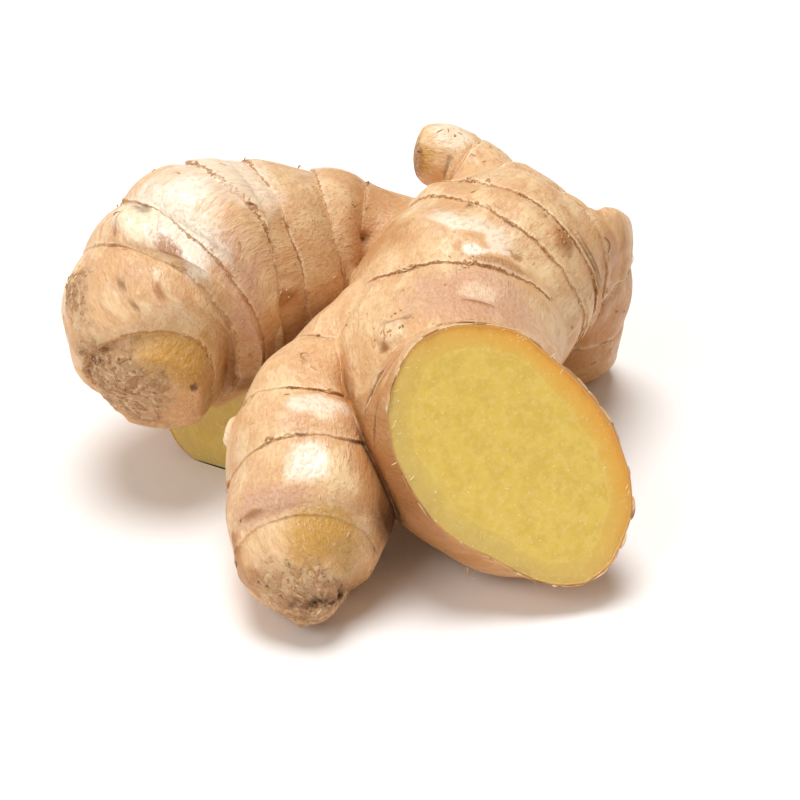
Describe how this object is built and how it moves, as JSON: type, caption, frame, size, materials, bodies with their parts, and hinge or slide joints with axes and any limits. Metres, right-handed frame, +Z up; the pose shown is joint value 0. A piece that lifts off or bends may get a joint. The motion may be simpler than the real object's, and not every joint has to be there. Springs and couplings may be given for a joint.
{
  "type": "ginger root",
  "caption": "Fresh ginger root lying down: knobbly branched rhizome with ringed tan skin, blunt fingers and an oval cut face.",
  "frame": {"origin": "on the surface it lies on, under the middle of its bounding box", "axes": "+Z up, the big cut face looks towards -Y, the fattest finger reaches towards -X"},
  "size_m": [0.1164, 0.1162, 0.0609],
  "materials": {
    "ginger_skin": "dry papery tan skin with a soft sheen, moist yellow flesh on the cut faces"
  },
  "bodies": {
    "root": {"ginger_rhizome": "ginger_skin"}
  },
  "joints": []
}
